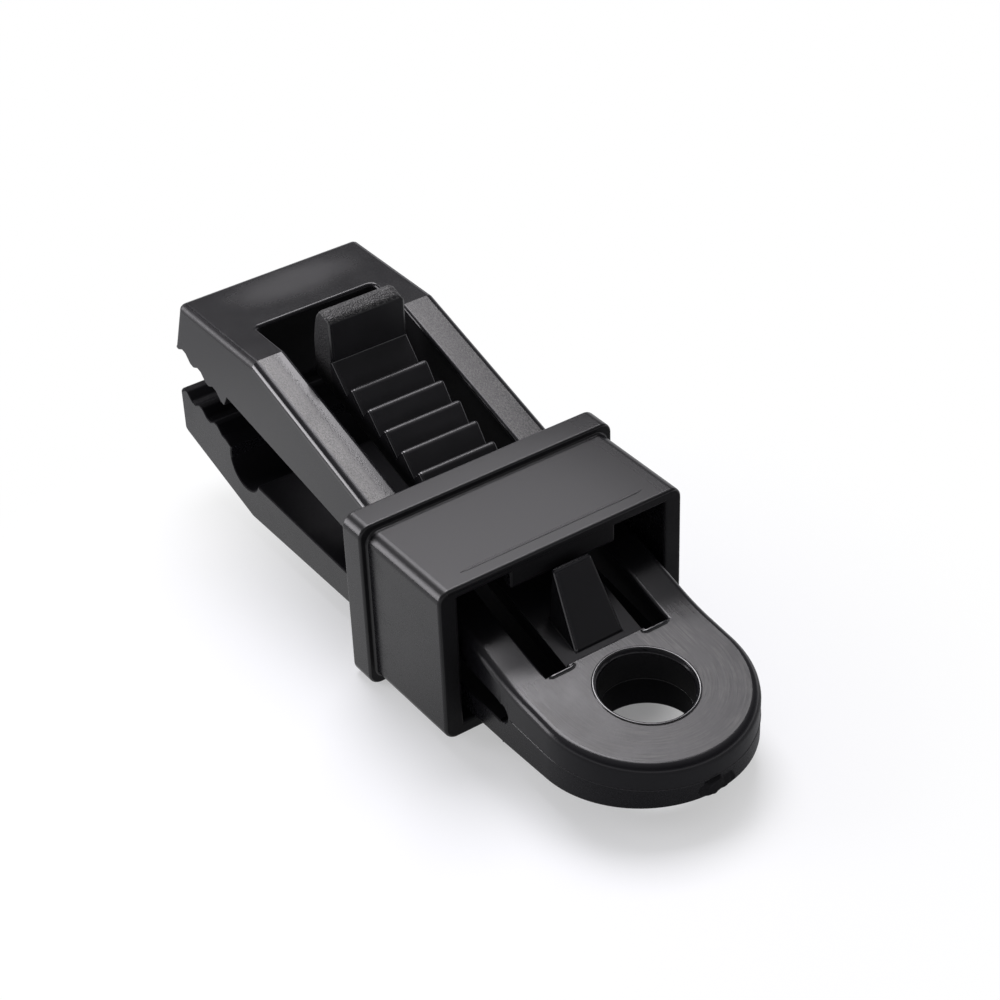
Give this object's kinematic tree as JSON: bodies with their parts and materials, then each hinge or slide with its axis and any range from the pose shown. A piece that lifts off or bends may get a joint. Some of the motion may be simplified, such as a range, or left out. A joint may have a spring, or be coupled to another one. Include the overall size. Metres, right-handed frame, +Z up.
{
  "type": "tarp clip",
  "caption": "Black moulded lock-grip tarp clip with toothed jaws, a ratchet tongue with thumb tab, a sliding lock sleeve and a rope eye.",
  "frame": {"origin": "middle of the clip's length and width, on the plane that the lock sleeve's flange stands on", "axes": "+X along the clip from the jaws to the rope eye, +Y across it, +Z up, square to the flat underside"},
  "size_m": [0.0892, 0.0344, 0.0332],
  "materials": {
    "body_plastic": "satin",
    "sleeve_plastic": "satin"
  },
  "bodies": {
    "tail": {"tail_eye": "body_plastic"},
    "lower_arm": {"lower_jaw": "body_plastic"},
    "upper_arm": {"upper_jaw": "body_plastic"},
    "tongue": {"ratchet_tongue": "body_plastic"},
    "sleeve": {"lock_sleeve": "sleeve_plastic"}
  },
  "joints": [
    {"name": "sleeve_slide", "type": "slide", "parent": "lower_arm", "child": "sleeve", "axis": [-1, 0, 0], "range_m": [0, 0.009]},
    {"name": "lower_arm_flex", "type": "hinge", "parent": "tail", "child": "lower_arm", "pos_m": [0.02372, 0, 0.00705], "axis": [0, 1, 0], "range_deg": [0, 2.3], "stiffness_Nm_per_rad": 0.3},
    {"name": "upper_arm_flex", "type": "hinge", "parent": "tail", "child": "upper_arm", "pos_m": [0.02372, 0, 0.00705], "axis": [0, -1, 0], "range_deg": [0, 2.3], "stiffness_Nm_per_rad": 0.3},
    {"name": "tongue_press", "type": "hinge", "parent": "upper_arm", "child": "tongue", "pos_m": [0.02433, 0, 0.00847], "axis": [0, -1, 0], "range_deg": [0, 5], "stiffness_Nm_per_rad": 0.6}
  ],
  "couplings": [
    {"joint": "lower_arm_flex", "follows": "sleeve_slide", "rad_per_m": 4.46},
    {"joint": "upper_arm_flex", "follows": "sleeve_slide", "rad_per_m": 4.46}
  ]
}
